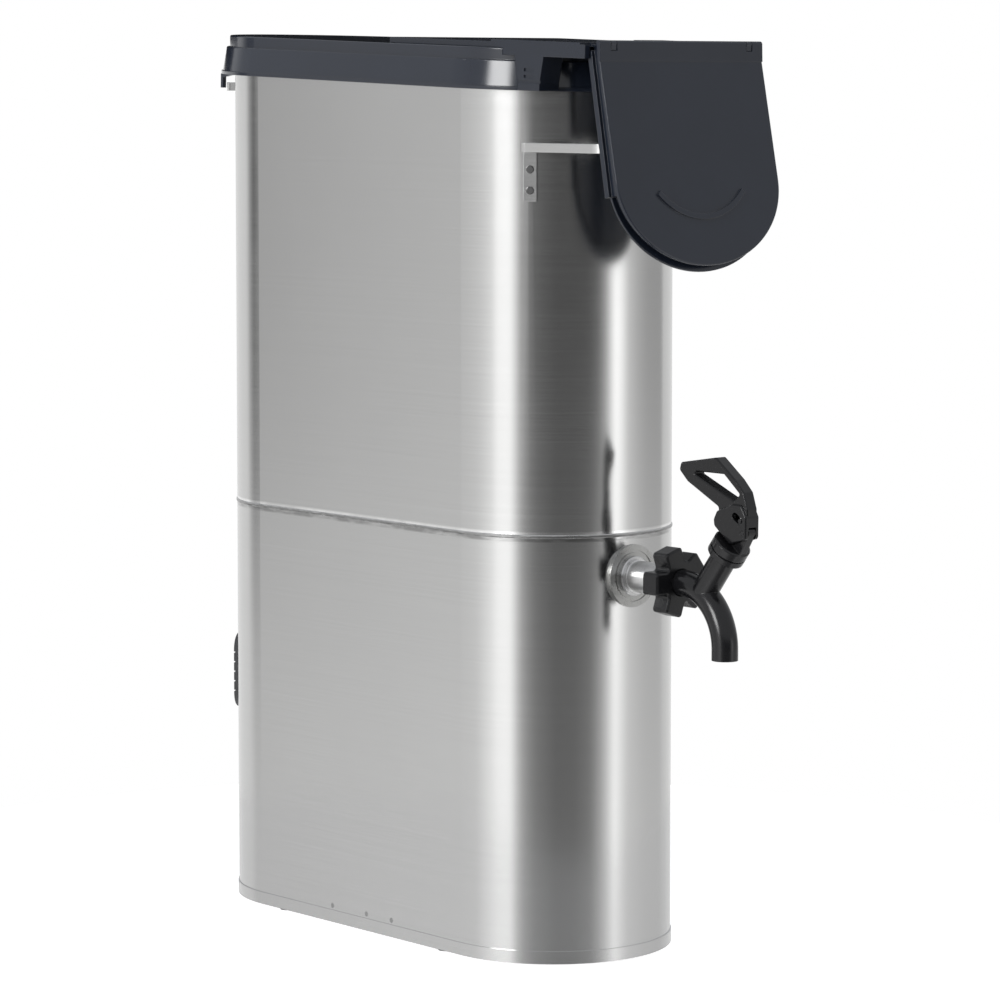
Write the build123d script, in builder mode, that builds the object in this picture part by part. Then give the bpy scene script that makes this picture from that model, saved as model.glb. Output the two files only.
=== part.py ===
"""A narrow stainless iced tea dispenser with a brew-through lid and a lever faucet.

Millimetres, +Z up. The origin is the centre of the body's plan on the counter, and the
faucet points to -Y. The lid lies on a plane that drops a little towards the front.
"""

import os
from math import asin, cos, degrees, hypot, radians, sin, sqrt

from build123d import *

os.makedirs("parts", exist_ok=True)

# Body: two drawn shells of one oval plan, welded together at mid height
body_width = 162.0
body_length = 384.0
sheet = 1.2
seam_z = 287.0
seam_bead_height = 2.4
seam_bead_proud = 0.6
nest_gap = 0.2
tank_foot_z = 232.0
joggle_height = 2.0
hem_width = 2.4
hem_height = 6.0

# Tank floor, which drops towards the faucet
floor_front_z = 239.0
floor_slope = 1.5

# Base ring and feet
foot_height = 1.0
foot_radius = 5.5
foot_spacing_y = 176.0
ring_height = 8.5
ring_sheet = 0.7
ring_flange = 13.0

# Lid plane: the underside of the skirt at mid length, and its fall to the front
skirt_z = 586.7
lid_tilt = 2.0
skirt_height = 19.4
skirt_bottom_grow = 9.0
skirt_top_grow = 6.2
skirt_wall = 2.6
lip_height = 2.4
lip_proud = 0.8
plate_grow = 4.0
plate_height = 8.0
lid_roof = 2.6
rim_height = 18.2
lid_seat_gap = 0.3
shoulder_fillet = 0.7
plate_fillet = 0.9
plug_wall = 1.8
plug_clearance = 1.0
plug_depth = 10.5

# Brew-through frame on the lid: places behind the nose (back) or in front of it (reach)
frame_width = 154.0
frame_rear_back = 163.4
deck_rear_back = 56.0
deck_front_reach = 37.0
collar_height = 3.9
collar_corner = 3.0
deck_height = 5.4
deck_wall = 2.5
deck_skirt = 10.1
deck_clearance = 0.3
throat_width = 100.0
throat_length = 80.0
throat_back = 64.0
throat_corner = 24.0
throat_wall = 2.0
throat_depth = 11.4
ear_back = 17.5
ear_top_length = 28.7
ear_foot_length = 21.8
ear_waist = 18.0
ear_height = 22.4
ear_inset = 17.0
ear_window_width = 9.0
ear_window_height = 2.2
ear_window_depth = 0.8
ear_groove_drop = 16.7
ear_groove = 1.8
recess_gap = 0.8
recess_depth = 7.0

# Flap that hangs from the front of the frame
flap_side_gap = 5.0
flap_lean = 11.75
flap_straight = 90.4
flap_round = 55.4
flap_plate = 2.6
flap_fillet = 0.9
flap_face_drop = 0.4
flap_band = 11.6
flap_band_proud = 0.3
flap_rail_inset = 2.4
flap_rail_wall = 1.8
flap_rail_start = 3.0
flap_rail_end = 98.2
flap_rail_top_depth = 10.8
flap_rail_foot_depth = 13.0
flap_rail_flange = 4.0
flap_rim_inset = 4.0
flap_rim_wall = 2.2
flap_rim_depth = 6.8
flap_rim_lip = 1.6
flap_rim_lip_inset = 0.4
flap_rim_lip_drop = 3.3
flap_rib = 3.0
flap_rib_width = 96.0
flap_root = 5.0
flap_gap = 0.3
grip_half_width = 37.4
grip_top = 97.4
grip_sag = 16.5
grip_width = 3.8
grip_depth = 1.4
hinge_reach = 43.9
barrel_radius = 2.0
hinge_pin_radius = 1.0
hinge_pin_end = 6.0
lug_x = 60.0
lug_width = 4.7
lug_gap = 0.4
lug_drop = 4.4
lug_arm = 2.3
lug_front = 1.8
fold_turn = 270.0

# Strap handles
band_height = 6.1
band_thickness = 2.2
band_bend = 12.0
front_band_z = 540.7
front_bar_reach = 47.6
front_tab_height = 38.4
front_tab_angle = 38.4
front_leg_step = 4.0
rear_band_z = 579.9
rear_bar_reach = 27.5
rear_tab_height = 36.0
rear_tab_angle = 67.0
rear_leg_step = 2.4
tab_width = 9.2
rivet_radius = 1.5
rivet_head_radius = 2.7
rivet_head = 0.9
rivet_pitch = 13.8
rivet_from_foot = 7.2
hook_x = 28.5
hook_width = 3.0
hook_gap = 1.6
hook_thickness = 2.6
hook_fall = 2.0
hook_depth = 12.3

# Rear bumper
bumper_z = 131.0
bumper_height = 55.0
bumper_width = 112.0
bumper_corner = 12.0
bumper_thickness = 5.2
bumper_groove = 1.2
bumper_groove_pitch = 7.0
bumper_grooves = 5
bumper_screw_x = 38.0
screw_head_radius = 3.4
screw_head = 1.4
screw_radius = 1.7

# Faucet on the nose: reaches are measured forward from the nose
faucet_z = 259.0
boss_radius = 21.0
boss_proud = 1.3
washer_radius = 13.2
washer_thickness = 2.6
collar_radius = 11.4
collar_thickness = 1.8
sleeve_radius = 10.6
shank_radius = 7.3
shank_bore = 5.6
shank_inside = 15.5
shank_reach = 40.5
gasket_radius = 14.0
gasket_thickness = 4.0
shank_nut_radius = 13.6
shank_nut_height = 6.0
thread_gap = 0.05
tail_radius = 5.3
tail_length = 9.0
tail_bore = 3.6
tail_bore_reach = 54.0
tail_groove = 1.2
o_ring_section = 1.36
flange_radius = 10.4
flange_thickness = 3.8
spout_radius = 8.7
spout_bore = 6.2
spout_start_reach = 49.0
spout_bend = 40.0
spout_end_z = 212.0
spout_bore_start = 42.0

# Wing nut
nut_rear_reach = 33.5
nut_length = 14.5
nut_hub_radius = 12.6
nut_wing_reach = 22.4
nut_wing_width = 15.0
nut_wing_corner = 2.4
nut_wings = 5
nut_turn = 36.0
nut_gap = 0.35

# Valve neck, bonnet, stem and lever
neck_lean = 38.0
neck_reach = 70.0
neck_z = 256.0
neck_radius = 8.8
neck_length = 39.8
chamber_radius = 6.5
chamber_floor = -1.0
feed_bore = 2.6
feed_rise = 2.4
feed_reach = 69.0
seat_hole_radius = 2.4
seat_hole_reach = 70.5
seat_hole_foot_z = 246.5
bonnet_radius = 12.7
bonnet_skirt = 8.3
bonnet_top = 3.0
bonnet_groove = 1.0
ear_plate_half = 3.0
ear_tip_radius = 3.4
fulcrum_forward = 6.6
fulcrum_height = 57.6
fulcrum_radius = 1.5
running_gap = 0.08
stem_radius = 2.2
stem_foot = 3.0
stem_eye_radius = 3.0
stem_eye_half = 2.9
stem_pin_rise = 4.4
stem_pin_radius = 1.5
stem_lift = 6.0
cup_radius = 6.0
cup_height = 9.0
cup_seat_gap = 0.1
spring_radius = 4.4
spring_wire = 0.8
spring_turns = 7
lever_half = 4.6
hub_half = 6.2
cavity_half = 3.4
slot_half = 2.4
slot_rise = 0.4
lever_swing = 40.0
lever_corner = 2.6
loop_corner = 1.2
lever_edge = 0.8

# Worked out from the sizes above
end_spacing = body_length - body_width
end_y = end_spacing / 2
body_radius = body_width / 2
inner_radius = body_radius - sheet
tank_radius = inner_radius - nest_gap
tank_inner = tank_radius - sheet
nose_y = -body_length / 2
frame_rear_y = nose_y + frame_rear_back
deck_rear_y = nose_y + deck_rear_back
deck_front_y = nose_y - deck_front_reach
throat_y = nose_y + throat_back
ear_y = nose_y + ear_back
hinge_y = nose_y - hinge_reach
front_bar_y = nose_y - front_bar_reach
rear_bar_y = -nose_y + rear_bar_reach
front_half_span = body_radius * cos(radians(front_tab_angle)) + front_leg_step
rear_half_span = body_radius * cos(radians(rear_tab_angle)) + rear_leg_step
shank_end_y = nose_y - shank_reach
tail_bore_end_y = nose_y - tail_bore_reach
spout_start_y = nose_y - spout_start_reach
nut_rear_y = nose_y - nut_rear_reach
neck_y = nose_y - neck_reach
feed_end_y = nose_y - feed_reach
seat_hole_y = nose_y - seat_hole_reach
flap_width = frame_width - 2 * flap_side_gap
ring_top_z = foot_height + ring_height
base_foot_z = foot_height + ring_sheet
plate_top = skirt_height + plate_height
collar_top = plate_top + collar_height
deck_top = plate_top + deck_height
hinge_height = deck_top + flap_gap - flap_face_drop
plug_radius = body_radius - hem_width - plug_clearance
tall = 2 * skirt_z

lid_plane = Plane(
    origin=(0, 0, skirt_z),
    x_dir=(1, 0, 0),
    z_dir=(0, -sin(radians(lid_tilt)), cos(radians(lid_tilt))),
)
hinge_axis = lid_plane.from_local_coords(Vector(0, hinge_y, hinge_height))
neck_plane = Plane(
    origin=(0, neck_y, neck_z),
    x_dir=(1, 0, 0),
    z_dir=(0, -sin(radians(neck_lean)), cos(radians(neck_lean))),
)
fulcrum = neck_plane.from_local_coords(Vector(0, -fulcrum_forward, fulcrum_height))
lever_plane = Plane(origin=fulcrum, x_dir=neck_plane.y_dir, z_dir=(1, 0, 0))


flap_plane = Plane(
    origin=hinge_axis,
    x_dir=(1, 0, 0),
    z_dir=(0, -cos(radians(flap_lean)), sin(radians(flap_lean))),
)
flap_side = Plane(origin=hinge_axis, x_dir=flap_plane.z_dir, z_dir=(-1, 0, 0))
bar_rest = flap_plane.to_local_coords(Vector(0, front_bar_y, front_band_z + band_height))
flap_travel = fold_turn - flap_lean - lid_tilt


def oval(radius):
    """The body's plan at another end radius, about the same two end centres."""
    return SlotCenterToCenter(end_spacing, 2 * radius, rotation=90)


def oval_edges(part, height, radius):
    """The edges of one of those outlines, at a height over the lid plane."""
    picked = []
    for edge in part.edges():
        spot = lid_plane.to_local_coords(edge.position_at(0.5))
        reach = hypot(spot.X, max(abs(spot.Y) - end_y, 0))
        if abs(spot.Z - height) < 0.01 and abs(reach - radius) < 0.01:
            picked.append(edge)
    return picked


def oval_ring(outer, inner):
    """A closed wall between two of those ovals."""
    oval(outer)
    SlotCenterToCenter(end_spacing, 2 * inner, rotation=90, mode=Mode.SUBTRACT)


def front_plane(y):
    """A plane across the faucet's axis that faces the front."""
    return Plane(origin=(0, y, faucet_z), x_dir=(1, 0, 0), z_dir=(0, -1, 0))


def tangent_plane(angle, side, z, radius=body_radius):
    """A plane on the curved end: angle from the flank, side -1 front or 1 rear, facing out."""
    turn = radians(abs(angle))
    flank = 1 if angle > 0 else -1
    normal = Vector(flank * cos(turn), side * sin(turn), 0)
    spot = Vector(0, side * end_y, z) + normal * radius
    return Plane(origin=spot, x_dir=Vector(-normal.Y, normal.X, 0), z_dir=normal)


def rivet_planes(angle, side, foot_z):
    """Where a handle's rivets stand on the shell."""
    heights = (foot_z + rivet_from_foot, foot_z + rivet_from_foot + rivet_pitch)
    return [tangent_plane(a, side, z) for a in (-angle, angle) for z in heights]


def screw_planes():
    """Where the bumper's screws stand on the base shell."""
    angle = 90.0 - degrees(asin(bumper_screw_x / body_radius))
    middle = bumper_z + bumper_height / 2
    return [tangent_plane(a, 1, middle) for a in (-angle, angle)]


def save(part, name):
    part.label = name
    export_step(part, f"parts/{name}.step")


front_foot_z = front_band_z + band_height - front_tab_height
rear_foot_z = rear_band_z + band_height - rear_tab_height
front_rivets = rivet_planes(front_tab_angle, -1, front_foot_z)
rear_rivets = rivet_planes(rear_tab_angle, 1, rear_foot_z)


def make_hem():
    """The folded rim inside the top edge, between two planes parallel to the lid."""
    with BuildPart() as hem:
        with BuildSketch(Plane.XY.offset(seam_z)):
            oval_ring(body_radius, body_radius - hem_width)
        extrude(amount=tall)
        split(bisect_by=lid_plane.offset(rim_height), keep=Keep.BOTTOM)
        split(bisect_by=lid_plane.offset(rim_height - hem_height), keep=Keep.TOP)
    return hem.part


def make_tank():
    with BuildPart() as tank:
        with BuildSketch(Plane.XY.offset(seam_z)):
            oval_ring(body_radius, inner_radius)
        extrude(amount=tall)
        split(bisect_by=lid_plane.offset(rim_height), keep=Keep.BOTTOM)
        add(make_hem())
        with BuildSketch(Plane.XY.offset(seam_z)):
            oval_ring(body_radius, tank_inner)
        extrude(amount=joggle_height)
        with BuildSketch(Plane.XY.offset(tank_foot_z)):
            oval_ring(tank_radius, tank_inner)
        extrude(amount=seam_z - tank_foot_z)
        with BuildSketch(front_plane(nose_y - sheet)):
            Circle(shank_radius + nest_gap)
        extrude(amount=-4 * sheet - nest_gap, mode=Mode.SUBTRACT)
        for plane in front_rivets + rear_rivets:
            with BuildSketch(plane.offset(sheet)):
                Circle(rivet_radius + thread_gap)
            extrude(amount=-3 * sheet, mode=Mode.SUBTRACT)
    save(tank.part, "reservoir_shell")


def make_tank_floor():
    """A pan with a turned-down edge, welded inside the tank's foot."""
    top = Plane(
        origin=(0, nose_y, floor_front_z),
        x_dir=(1, 0, 0),
        z_dir=(0, -sin(radians(floor_slope)), cos(radians(floor_slope))),
    )
    with BuildPart() as pan:
        with BuildSketch(Plane.XY.offset(tank_foot_z)):
            oval(tank_inner)
        extrude(amount=seam_z - tank_foot_z)
        split(bisect_by=top, keep=Keep.BOTTOM)
        hollow = make_pan_hollow(top)
        add(hollow, mode=Mode.SUBTRACT)
    save(pan.part, "reservoir_floor")


def make_pan_hollow(top):
    with BuildPart() as hollow:
        with BuildSketch(Plane.XY.offset(tank_foot_z)):
            oval(tank_inner - sheet)
        extrude(amount=seam_z - tank_foot_z)
        split(bisect_by=top.offset(-sheet), keep=Keep.BOTTOM)
    return hollow.part


def make_base_shell():
    with BuildPart() as base:
        with BuildSketch(Plane.XY.offset(base_foot_z)):
            oval_ring(body_radius, inner_radius)
        extrude(amount=seam_z - base_foot_z)
        with BuildSketch(front_plane(nose_y - sheet)):
            Circle(shank_radius + nest_gap)
        extrude(amount=-3 * sheet, mode=Mode.SUBTRACT)
        for plane in screw_planes():
            with BuildSketch(plane.offset(sheet)):
                Circle(screw_radius + thread_gap)
            extrude(amount=-3 * sheet, mode=Mode.SUBTRACT)
    save(base.part, "base_shell")


def make_seam():
    """The bead of the weld, rounded off above and below."""
    half = seam_bead_height / 2
    sections = ((-half, 0.3), (-half / 2, 1.0), (half / 2, 1.0), (half, 0.3))
    with BuildPart() as bead:
        for rise, share in sections:
            with BuildSketch(Plane.XY.offset(seam_z + rise)):
                oval(body_radius + share * seam_bead_proud)
        loft(ruled=True)
        with BuildSketch(Plane.XY.offset(seam_z - half)):
            oval(body_radius)
        extrude(amount=seam_bead_height, mode=Mode.SUBTRACT)
    save(bead.part, "weld_seam")


def make_base_ring():
    with BuildPart() as ring:
        with BuildSketch(Plane.XY.offset(foot_height)):
            oval_ring(body_radius + ring_sheet, body_radius + ring_sheet - ring_flange)
        extrude(amount=ring_sheet)
        with BuildSketch(Plane.XY.offset(base_foot_z)):
            oval_ring(body_radius + ring_sheet, body_radius)
        extrude(amount=ring_top_z - base_foot_z)
    save(ring.part, "base_ring")


def make_feet():
    across = 2 * (body_radius + ring_sheet) - ring_flange
    with BuildPart() as feet:
        with BuildSketch(Plane.XY):
            with GridLocations(across, foot_spacing_y, 2, 2):
                Circle(foot_radius)
        extrude(amount=foot_height)
    save(feet.part, "rubber_feet")


def make_handle(name, half_span, bar_y, band_z, tab_angle, foot_z, rivets):
    """A strap bent round in front of one end, with a riveted tab turned down at each side."""
    side = 1 if bar_y > 0 else -1
    root_y = side * end_y
    middle_x = half_span - band_thickness / 2
    middle_y = bar_y - side * band_thickness / 2
    corners = [(-middle_x, root_y), (-middle_x, middle_y), (middle_x, middle_y), (middle_x, root_y)]
    with BuildPart() as handle:
        with BuildSketch(Plane.XY.offset(band_z)):
            with BuildLine():
                FilletPolyline(*corners, radius=band_bend)
            trace(line_width=band_thickness)
        extrude(amount=band_height)
        for angle in (-tab_angle, tab_angle):
            plane = tangent_plane(angle, side, (band_z + band_height + foot_z) / 2)
            with BuildSketch(plane.offset(-sheet)):
                Rectangle(tab_width, band_z + band_height - foot_z)
            extrude(amount=sheet + band_thickness)
        with BuildSketch(Plane.XY.offset(foot_z)):
            oval(body_radius)
        extrude(amount=band_z + band_height - foot_z, mode=Mode.SUBTRACT)
        for plane in rivets:
            with BuildSketch(plane.offset(-sheet)):
                Circle(rivet_radius + thread_gap)
            extrude(amount=band_thickness + 2 * sheet, mode=Mode.SUBTRACT)
    save(handle.part, name)


def make_rivets(name, planes):
    with BuildPart() as rivets:
        for plane in planes:
            with BuildSketch(plane.offset(-sheet - rivet_head)):
                Circle(rivet_radius)
            extrude(amount=sheet + rivet_head + band_thickness)
            with BuildSketch(plane.offset(band_thickness)):
                Circle(rivet_head_radius)
            extrude(amount=rivet_head, taper=25)
            with BuildSketch(plane.offset(-sheet - thread_gap)):
                Circle(rivet_head_radius)
            extrude(amount=-rivet_head)
    save(rivets.part, name)


def make_bumper():
    """A ribbed pad wrapped round the rear of the base, with recesses for its screws."""
    middle = bumper_z + bumper_height / 2
    outer = body_radius + bumper_thickness
    face = Plane(origin=(0, end_y, middle), x_dir=(-1, 0, 0), z_dir=(0, 1, 0))
    first = middle - bumper_groove_pitch * (bumper_grooves - 1) / 2
    with BuildPart() as bumper:
        with BuildSketch(Plane.XY.offset(bumper_z)):
            oval_ring(outer, body_radius)
        extrude(amount=bumper_height)
        with BuildSketch(face):
            RectangleRounded(bumper_width, bumper_height, bumper_corner)
        extrude(amount=body_length, mode=Mode.INTERSECT)
        for count in range(bumper_grooves):
            groove_z = first + count * bumper_groove_pitch - bumper_groove / 2
            with BuildSketch(Plane.XY.offset(groove_z)):
                oval_ring(outer + bumper_groove, outer - bumper_groove)
            extrude(amount=bumper_groove, mode=Mode.SUBTRACT)
        for plane in screw_planes():
            with BuildSketch(plane.offset(-sheet)):
                Circle(screw_radius + thread_gap)
            extrude(amount=bumper_thickness + 2 * sheet, mode=Mode.SUBTRACT)
            with BuildSketch(plane.offset(bumper_thickness - screw_head)):
                Circle(screw_head_radius + 4 * thread_gap)
            extrude(amount=2 * screw_head, mode=Mode.SUBTRACT)
    save(bumper.part, "rear_bumper")


def make_bumper_screws():
    with BuildPart() as screws:
        for plane in screw_planes():
            with BuildSketch(plane.offset(-3 * sheet)):
                Circle(screw_radius)
            extrude(amount=3 * sheet + bumper_thickness - screw_head)
            with BuildSketch(plane.offset(bumper_thickness - screw_head)):
                Circle(screw_head_radius)
            extrude(amount=screw_head)
            with BuildSketch(plane.offset(bumper_thickness)):
                Rectangle(screw_head_radius * 1.3, screw_head / 2)
                Rectangle(screw_head / 2, screw_head_radius * 1.3)
            extrude(amount=-screw_head / 2, mode=Mode.SUBTRACT)
    save(screws.part, "bumper_screws")


def make_lid_base():
    """The moulded lid: a flared skirt, a raised plate, a plug inside the rim and two rear hooks."""
    roof = plate_top - lid_roof
    seat = rim_height + lid_seat_gap
    with BuildPart() as lid:
        with BuildSketch(lid_plane):
            oval(body_radius + skirt_bottom_grow)
        with BuildSketch(lid_plane.offset(skirt_height)):
            oval(body_radius + skirt_top_grow)
        loft(ruled=True)
        with BuildSketch(lid_plane):
            oval(body_radius + skirt_bottom_grow + lip_proud)
        extrude(amount=lip_height)
        fillet(oval_edges(lid, skirt_height, body_radius + skirt_top_grow), shoulder_fillet)
        with BuildSketch(lid_plane.offset(seat)):
            oval(body_radius + plate_grow)
        extrude(amount=plate_top - seat)
        fillet(oval_edges(lid, plate_top, body_radius + plate_grow), plate_fillet)
        with BuildSketch(lid_plane):
            oval(body_radius + skirt_bottom_grow - skirt_wall)
        with BuildSketch(lid_plane.offset(seat)):
            oval(body_radius + skirt_top_grow - skirt_wall)
        loft(ruled=True, mode=Mode.SUBTRACT)
        with BuildSketch(lid_plane.offset(seat)):
            oval(plug_radius - plug_wall)
        extrude(amount=roof - seat, mode=Mode.SUBTRACT)
        with BuildSketch(lid_plane.offset(seat - plug_depth)):
            oval_ring(plug_radius, plug_radius - plug_wall)
        extrude(amount=plug_depth)
        with BuildSketch(lid_plane.offset(seat)):
            with Locations((0, throat_y)):
                throat_shape(throat_wall + deck_clearance)
        extrude(amount=plate_top, mode=Mode.SUBTRACT)
        for side in (-1, 1):
            add(make_rear_hook(side * hook_x))
    save(lid.part, "lid_base")


def throat_shape(grow):
    """The brew-through opening's outline, grown all round."""
    RectangleRounded(throat_width + 2 * grow, throat_length + 2 * grow, throat_corner + grow)


def make_rear_hook(middle):
    """One of the two prongs that hang over the rear handle's bar."""
    skirt_radius = body_radius + skirt_bottom_grow - skirt_wall / 2
    inner = end_y + sqrt(skirt_radius**2 - middle**2)
    outer = rear_bar_y + hook_gap + hook_thickness
    side_view = Plane(origin=lid_plane.origin + Vector(middle, 0, 0), x_dir=lid_plane.y_dir, z_dir=(1, 0, 0))
    corners = [
        (inner, hook_thickness),
        (outer, -hook_fall),
        (outer, -hook_depth),
        (outer - hook_thickness, -hook_depth),
        (outer - hook_thickness, -hook_fall - hook_thickness),
        (inner, 0),
    ]
    with BuildPart() as hook:
        with BuildSketch(side_view):
            Polygon(*corners, align=None)
        extrude(amount=hook_width / 2, both=True)
    return hook.part


def make_brew_frame():
    """Collar and front deck round the brew-through opening, with hinge lugs and two clip ears."""
    deck_foot = deck_top - deck_skirt
    deck_length = deck_rear_y - deck_front_y
    deck_middle = (deck_rear_y + deck_front_y) / 2
    collar_length = frame_rear_y - deck_rear_y
    inside = frame_width - 2 * deck_wall
    recess_x = (flap_width - flap_rail_inset - flap_rail_wall) / 2
    band_rise = barrel_radius * (1 - (hinge_reach - deck_front_reach) / flap_band)
    rebate_floor = hinge_height - band_rise - flap_gap
    with BuildPart() as frame:
        with BuildSketch(lid_plane.offset(plate_top)):
            with Locations((0, frame_rear_y - collar_length / 2)):
                Rectangle(frame_width, collar_length)
        extrude(amount=collar_height)
        upright = frame.edges().filter_by(lambda e: abs(e.length - collar_height) < 0.01)
        fillet(upright.sort_by(Axis.Y)[-2:], collar_corner)
        with BuildSketch(lid_plane.offset(deck_foot)):
            with Locations((0, deck_middle)):
                Rectangle(frame_width, deck_length)
        extrude(amount=deck_skirt)
        with BuildSketch(lid_plane.offset(deck_foot)):
            with Locations((0, deck_middle)):
                Rectangle(inside, deck_length - 2 * deck_wall)
        extrude(amount=deck_skirt - lid_roof, mode=Mode.SUBTRACT)
        with BuildSketch(lid_plane.offset(deck_foot)):
            with Locations((-recess_x, deck_front_y), (recess_x, deck_front_y)):
                Rectangle(flap_rail_inset + flap_rail_wall + 2 * recess_gap, 2 * recess_depth)
        extrude(amount=deck_skirt, mode=Mode.SUBTRACT)
        for side in (-1, 1):
            add(make_clip_ear(side, deck_foot))
        with BuildSketch(lid_plane):
            oval(body_radius + skirt_bottom_grow + deck_clearance)
        with BuildSketch(lid_plane.offset(skirt_height)):
            oval(body_radius + skirt_top_grow + deck_clearance)
        loft(ruled=True, mode=Mode.SUBTRACT)
        with BuildSketch(lid_plane.offset(-deck_clearance)):
            oval(body_radius + skirt_bottom_grow + lip_proud + deck_clearance)
        extrude(amount=lip_height + 2 * deck_clearance, mode=Mode.SUBTRACT)
        with BuildSketch(lid_plane.offset(skirt_height - deck_clearance)):
            oval(body_radius + plate_grow + deck_clearance)
        extrude(amount=plate_height + deck_clearance, mode=Mode.SUBTRACT)
        with BuildSketch(lid_plane.offset(rebate_floor)):
            with Locations((0, hinge_y)):
                Rectangle(2 * frame_width, 2 * (flap_band + flap_gap))
        extrude(amount=deck_skirt, mode=Mode.SUBTRACT)
        with BuildSketch(lid_plane.offset(throat_depth)):
            with Locations((0, throat_y)):
                throat_shape(throat_wall)
        extrude(amount=collar_top - throat_depth)
        with BuildSketch(lid_plane.offset(throat_depth)):
            with Locations((0, throat_y)):
                throat_shape(0)
        extrude(amount=deck_top, mode=Mode.SUBTRACT)
        for side in (-1, 1):
            add(make_hinge_lug(side * lug_x))
    save(frame.part, "brew_frame")


def make_clip_ear(side, top):
    """An ear that reaches down beside the skirt, with two small windows and a groove."""
    middle = lid_plane.from_local_coords(Vector(side * frame_width / 2, ear_y, top))
    plane = Plane(origin=middle, x_dir=lid_plane.y_dir, z_dir=(side, 0, 0))
    half_top = ear_top_length / 2
    half_foot = ear_foot_length / 2
    corners = [
        (-half_top, side * deck_wall),
        (half_top, side * deck_wall),
        (half_top, 0),
        (half_foot, -side * ear_waist),
        (half_foot, -side * ear_height),
        (-half_foot, -side * ear_height),
        (-half_foot, -side * ear_waist),
        (-half_top, 0),
    ]
    with BuildPart() as ear:
        with BuildSketch(plane):
            Polygon(*corners, align=None)
        extrude(amount=-ear_inset)
        with BuildSketch(plane):
            with Locations((0, -side * ear_height / 2)):
                with GridLocations(0, 2 * ear_window_height, 1, 2):
                    Rectangle(ear_window_width, ear_window_height)
            with Locations((0, -side * ear_groove_drop)):
                Rectangle(ear_top_length, ear_groove)
        extrude(amount=-ear_window_depth, mode=Mode.SUBTRACT)
    return ear.part


def make_hinge_lug(middle):
    """An eye round the hinge pin on an arm from the deck's front wall."""
    plane = Plane(origin=hinge_axis + Vector(middle, 0, 0), x_dir=lid_plane.y_dir, z_dir=(1, 0, 0))
    reach = deck_front_y + deck_wall - hinge_y
    with BuildPart() as lug:
        with BuildSketch(plane):
            Circle(barrel_radius)
            with Locations(((barrel_radius - lug_front) / 2, -lug_drop / 2)):
                Rectangle(barrel_radius + lug_front, lug_drop)
            with Locations(((reach - lug_front) / 2, lug_arm / 2 - lug_drop)):
                Rectangle(reach + lug_front, lug_arm)
            Circle(hinge_pin_radius + thread_gap, mode=Mode.SUBTRACT)
        extrude(amount=lug_width / 2, both=True)
    return lug.part


def make_hinge_pin():
    with BuildPart() as pin:
        with BuildSketch(flap_side):
            Circle(hinge_pin_radius)
        extrude(amount=flap_width / 2 - hinge_pin_end, both=True)
    save(pin.part, "hinge_pin")


def flap_outline(inset, start, drop=0.0):
    """The flap's outline drawn in from its edge, from a distance below the hinge."""
    width = flap_width - 2 * inset
    with Locations((0, -(start + flap_straight) / 2)):
        Rectangle(width, flap_straight - start)
    with Locations((0, -flap_straight)):
        Ellipse(width / 2, flap_round - inset + drop)


def flap_block(width, top, foot):
    """A rectangle across the flap between two distances below the hinge."""
    with Locations((0, -(top + foot) / 2)):
        Rectangle(width, foot - top)


def make_flap():
    face = flap_plane.offset(-flap_face_drop)
    back = face.offset(-flap_plate)
    grip_ends = (grip_half_width, -grip_top)
    with BuildPart() as flap:
        with BuildSketch(face):
            flap_outline(0, flap_root)
        extrude(amount=-flap_plate)
        fillet(flap.faces().sort_by(Axis(face.origin, face.z_dir))[-1].edges(), flap_fillet)
        add(make_flap_barrel())
        for side in (-1, 1):
            add(make_flap_rail(side))
        add(make_flap_rim(back))
        with BuildSketch(back):
            flap_block(flap_rib_width, -bar_rest.Y - flap_rib / 2, -bar_rest.Y + flap_rib / 2)
        extrude(amount=bar_rest.Z + flap_face_drop + flap_plate + flap_gap)
        with BuildSketch(face):
            with BuildLine():
                ThreePointArc((-grip_ends[0], grip_ends[1]), (0, -grip_top - grip_sag), grip_ends)
            trace(line_width=grip_width)
        extrude(amount=grip_depth)
    save(flap.part, "flap")


def make_flap_barrel():
    """The rolled top edge with its band, notched for the two lugs and bored for the pin."""
    corners = [
        (barrel_radius, 0),
        (flap_band_proud - flap_face_drop, -flap_band),
        (-flap_face_drop - flap_plate, -flap_band),
        (-barrel_radius, 0),
    ]
    notch = lug_width + 2 * lug_gap
    with BuildPart() as barrel:
        with BuildSketch(flap_side):
            Circle(barrel_radius)
            Polygon(*corners, align=None)
        extrude(amount=flap_width / 2, both=True)
        with BuildSketch(flap_plane):
            with Locations((-lug_x, -flap_root / 2 + barrel_radius), (lug_x, -flap_root / 2 + barrel_radius)):
                Rectangle(notch, flap_root + 2 * barrel_radius)
        extrude(amount=2 * barrel_radius, both=True, mode=Mode.SUBTRACT)
        with BuildSketch(flap_side):
            Circle(hinge_pin_radius + running_gap)
        extrude(amount=flap_width / 2 - hinge_pin_end + flap_gap, both=True, mode=Mode.SUBTRACT)
    return barrel.part


def make_flap_rail(side):
    """A wall behind one edge with a flange turned out, both deeper towards the foot."""
    outer = flap_width / 2
    inner = outer - flap_rail_inset - flap_rail_wall
    wall_start = inner if side < 0 else -inner - flap_rail_wall
    flange_start = inner if side < 0 else -outer
    with BuildPart() as rail:
        with BuildSketch(flap_side.offset(wall_start)):
            rail_view(flap_rail_top_depth - flap_plate, flap_rail_foot_depth - flap_plate)
        extrude(amount=flap_rail_wall)
        with BuildSketch(flap_side.offset(flange_start)):
            rail_view(flap_rail_flange, flap_rail_flange)
        extrude(amount=flap_rail_inset + flap_rail_wall)
    return rail.part


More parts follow.
